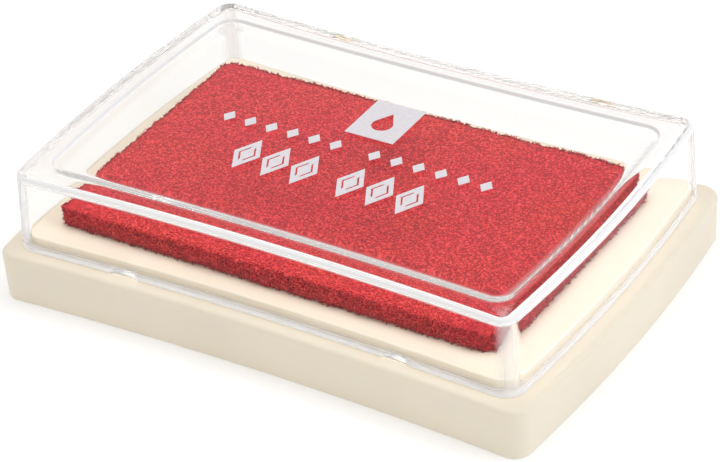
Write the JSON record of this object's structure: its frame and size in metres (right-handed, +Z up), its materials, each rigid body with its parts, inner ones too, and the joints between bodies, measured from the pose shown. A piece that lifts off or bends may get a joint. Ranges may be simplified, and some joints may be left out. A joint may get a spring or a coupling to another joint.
{
  "type": "ink pad",
  "caption": "Flat raised ink pad: ivory moulded tray with bowed ends, fabric-covered red pad on a platform, and a clear lift-off lid with a recessed, printed top.",
  "frame": {"origin": "centre of the tray's underside, on the surface it stands on", "axes": "+X along the length, +Y to the back (the emblem's side of the print), +Z up through the lid"},
  "size_m": [0.102, 0.0696, 0.0231],
  "materials": {
    "ivory_plastic": "satin, slightly translucent moulded plastic",
    "adhesive": "double-sided adhesive film",
    "foam": "ink-soaked open-cell foam",
    "red_cover": "fine felted fabric soaked with red ink, frayed at its edges",
    "clear_plastic": "clear, polished moulded plastic",
    "white_print": "opaque white printed film"
  },
  "bodies": {
    "tray": {"base_tray": "ivory_plastic", "pad_adhesive": "adhesive", "foam_core": "foam", "pad_cover": "red_cover"},
    "lid": {"clear_lid": "clear_plastic", "print_emblem": "white_print", "print_small_1": "white_print", "print_small_2": "white_print", "print_small_3": "white_print", "print_small_4": "white_print", "print_small_5": "white_print", "print_small_6": "white_print", "print_small_7": "white_print", "print_small_8": "white_print", "print_small_9": "white_print", "print_small_10": "white_print", "print_small_11": "white_print", "print_small_12": "white_print", "print_large_1": "white_print", "print_large_2": "white_print", "print_large_3": "white_print", "print_large_4": "white_print", "print_large_5": "white_print", "print_large_6": "white_print"}
  },
  "joints": [
    {"name": "lid_lift", "type": "slide", "parent": "tray", "child": "lid", "axis": [0, 0, 1], "range_m": [0, 0.03]}
  ]
}
